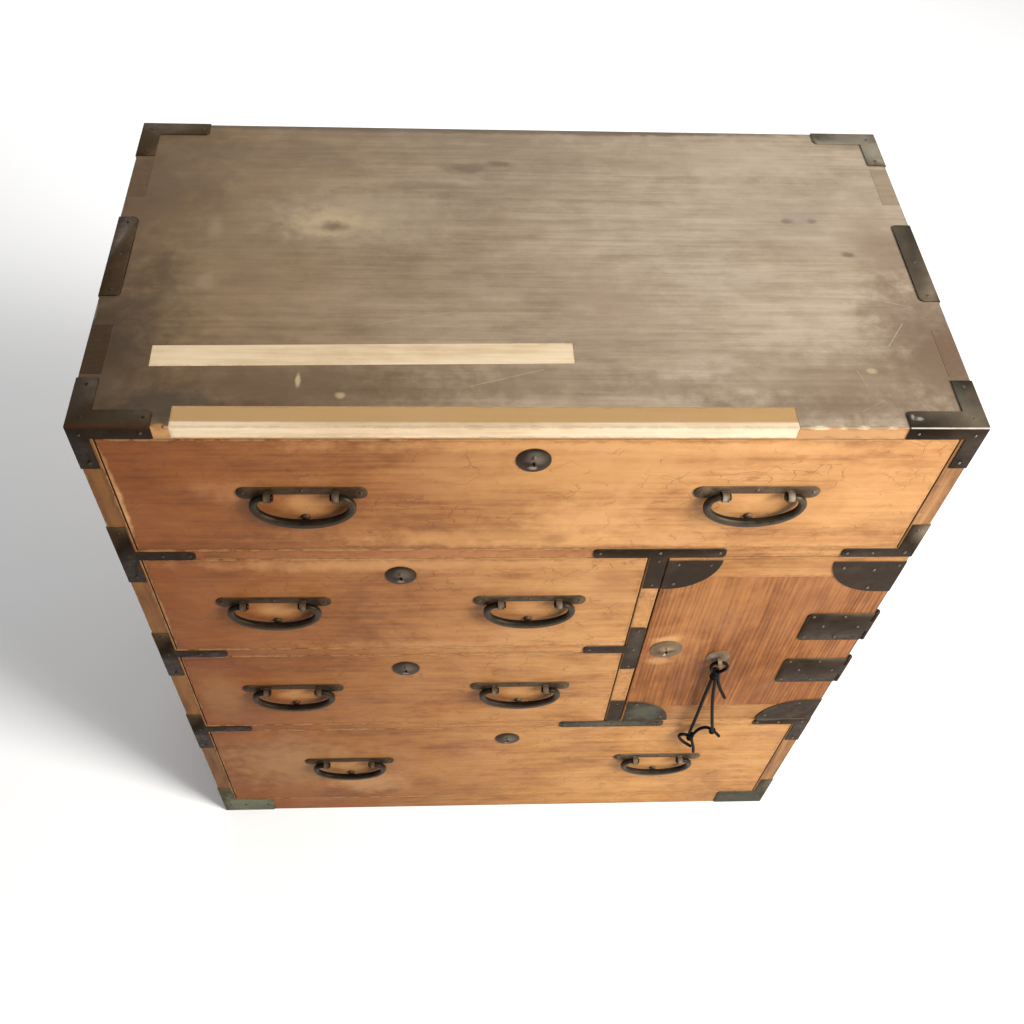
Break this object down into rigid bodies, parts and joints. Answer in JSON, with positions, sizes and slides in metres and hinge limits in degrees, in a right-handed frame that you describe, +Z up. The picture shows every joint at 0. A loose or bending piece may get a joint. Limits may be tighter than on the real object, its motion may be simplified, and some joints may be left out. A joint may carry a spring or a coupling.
{
  "type": "clothing chest",
  "caption": "Low wooden clothing chest with wide and narrow drawers, a hinged door over small inner drawers, forged swinging handles and iron corner straps.",
  "frame": {"origin": "on the floor, under the middle of the whole chest with its ironwork and side handles", "axes": "+X to the right seen from the front, -Y out of the front with its drawers and door, +Z up"},
  "size_m": [0.8808, 0.4764, 0.9112],
  "materials": {
    "case_wood": "oiled, worn",
    "front_wood": "oiled, worn",
    "inside_wood": "bare, aged",
    "repair_wood": "pale, oiled",
    "iron": "forged, lacquered, worn",
    "cord": "matt black cord"
  },
  "bodies": {
    "case": {"case_top": "case_wood", "case_side_left": "case_wood", "case_side_right": "case_wood", "case_back": "inside_wood", "case_bottom": "inside_wood", "shelf_upper": "inside_wood", "shelf_middle": "inside_wood", "shelf_lower": "inside_wood", "case_divider": "case_wood", "front_rails": "case_wood", "inner_shelves": "inside_wood", "top_repair_strip": "repair_wood", "edge_repair_strip": "repair_wood", "top_corner_irons": "iron", "edge_straps": "iron", "rail_irons": "iron", "divider_irons": "iron", "foot_irons": "iron", "side_handle_plates": "iron", "hinge_strap": "iron", "hinge_pins": "iron"},
    "side_handle_left": {"side_handle_left": "iron"},
    "side_handle_right": {"side_handle_right": "iron"},
    "door": {"door_panel": "front_wood", "door_end_rails": "front_wood", "door_corner_irons": "iron", "door_hinge_leaves": "iron", "door_lock": "iron", "door_pull": "iron", "pull_cord": "cord", "pull_cord_knots": "cord"},
    "drawer_top": {"drawer_top_front": "front_wood", "drawer_top_box": "inside_wood", "drawer_top_handle_plates": "iron", "drawer_top_lock": "iron"},
    "drawer_top_bail_left": {"drawer_top_bail_left": "iron"},
    "drawer_top_bail_right": {"drawer_top_bail_right": "iron"},
    "drawer_upper": {"drawer_upper_front": "front_wood", "drawer_upper_box": "inside_wood", "drawer_upper_handle_plates": "iron", "drawer_upper_lock": "iron"},
    "drawer_upper_bail_left": {"drawer_upper_bail_left": "iron"},
    "drawer_upper_bail_right": {"drawer_upper_bail_right": "iron"},
    "drawer_lower": {"drawer_lower_front": "front_wood", "drawer_lower_box": "inside_wood", "drawer_lower_handle_plates": "iron", "drawer_lower_lock": "iron"},
    "drawer_lower_bail_left": {"drawer_lower_bail_left": "iron"},
    "drawer_lower_bail_right": {"drawer_lower_bail_right": "iron"},
    "drawer_bottom": {"drawer_bottom_front": "front_wood", "drawer_bottom_box": "inside_wood", "drawer_bottom_handle_plates": "iron", "drawer_bottom_lock": "iron"},
    "drawer_bottom_bail_left": {"drawer_bottom_bail_left": "iron"},
    "drawer_bottom_bail_right": {"drawer_bottom_bail_right": "iron"},
    "inner_drawer_top": {"inner_drawer_top": "inside_wood"},
    "inner_drawer_middle": {"inner_drawer_middle": "inside_wood"},
    "inner_drawer_bottom": {"inner_drawer_bottom": "inside_wood"}
  },
  "joints": [
    {"name": "door_swing", "type": "hinge", "parent": "case", "child": "door", "pos_m": [0.4285, -0.2216, 0.4995], "axis": [0, 0, 1], "range_deg": [0, 180]},
    {"name": "side_handle_left_swing", "type": "hinge", "parent": "case", "child": "side_handle_left", "pos_m": [-0.434, 0.0084, 0.76], "axis": [0, 1, 0], "range_deg": [0, 175]},
    {"name": "side_handle_right_swing", "type": "hinge", "parent": "case", "child": "side_handle_right", "pos_m": [0.434, 0.0084, 0.76], "axis": [0, -1, 0], "range_deg": [0, 175]},
    {"name": "drawer_top_slide", "type": "slide", "parent": "case", "child": "drawer_top", "axis": [0, -1, 0], "range_m": [0, 0.34]},
    {"name": "drawer_top_bail_left_swing", "type": "hinge", "parent": "drawer_top", "child": "drawer_top_bail_left", "pos_m": [-0.224, -0.2306, 0.814], "axis": [-1, 0, 0], "range_deg": [0, 175]},
    {"name": "drawer_top_bail_right_swing", "type": "hinge", "parent": "drawer_top", "child": "drawer_top_bail_right", "pos_m": [0.227, -0.2306, 0.814], "axis": [-1, 0, 0], "range_deg": [0, 175]},
    {"name": "drawer_upper_slide", "type": "slide", "parent": "case", "child": "drawer_upper", "axis": [0, -1, 0], "range_m": [0, 0.34]},
    {"name": "drawer_upper_bail_left_swing", "type": "hinge", "parent": "drawer_upper", "child": "drawer_upper_bail_left", "pos_m": [-0.276, -0.2306, 0.6145], "axis": [-1, 0, 0], "range_deg": [0, 175]},
    {"name": "drawer_upper_bail_right_swing", "type": "hinge", "parent": "drawer_upper", "child": "drawer_upper_bail_right", "pos_m": [0.0125, -0.2306, 0.6145], "axis": [-1, 0, 0], "range_deg": [0, 175]},
    {"name": "drawer_lower_slide", "type": "slide", "parent": "case", "child": "drawer_lower", "axis": [0, -1, 0], "range_m": [0, 0.34]},
    {"name": "drawer_lower_bail_left_swing", "type": "hinge", "parent": "drawer_lower", "child": "drawer_lower_bail_left", "pos_m": [-0.277, -0.2306, 0.407], "axis": [-1, 0, 0], "range_deg": [0, 175]},
    {"name": "drawer_lower_bail_right_swing", "type": "hinge", "parent": "drawer_lower", "child": "drawer_lower_bail_right", "pos_m": [0.0135, -0.2306, 0.407], "axis": [-1, 0, 0], "range_deg": [0, 175]},
    {"name": "drawer_bottom_slide", "type": "slide", "parent": "case", "child": "drawer_bottom", "axis": [0, -1, 0], "range_m": [0, 0.34]},
    {"name": "drawer_bottom_bail_left_swing", "type": "hinge", "parent": "drawer_bottom", "child": "drawer_bottom_bail_left", "pos_m": [-0.221, -0.2306, 0.18], "axis": [-1, 0, 0], "range_deg": [0, 175]},
    {"name": "drawer_bottom_bail_right_swing", "type": "hinge", "parent": "drawer_bottom", "child": "drawer_bottom_bail_right", "pos_m": [0.229, -0.2306, 0.18], "axis": [-1, 0, 0], "range_deg": [0, 155]},
    {"name": "inner_drawer_top_slide", "type": "slide", "parent": "case", "child": "inner_drawer_top", "axis": [0, -1, 0], "range_m": [0, 0.011]},
    {"name": "inner_drawer_middle_slide", "type": "slide", "parent": "case", "child": "inner_drawer_middle", "axis": [0, -1, 0], "range_m": [0, 0.011]},
    {"name": "inner_drawer_bottom_slide", "type": "slide", "parent": "case", "child": "inner_drawer_bottom", "axis": [0, -1, 0], "range_m": [0, 0.011]}
  ]
}
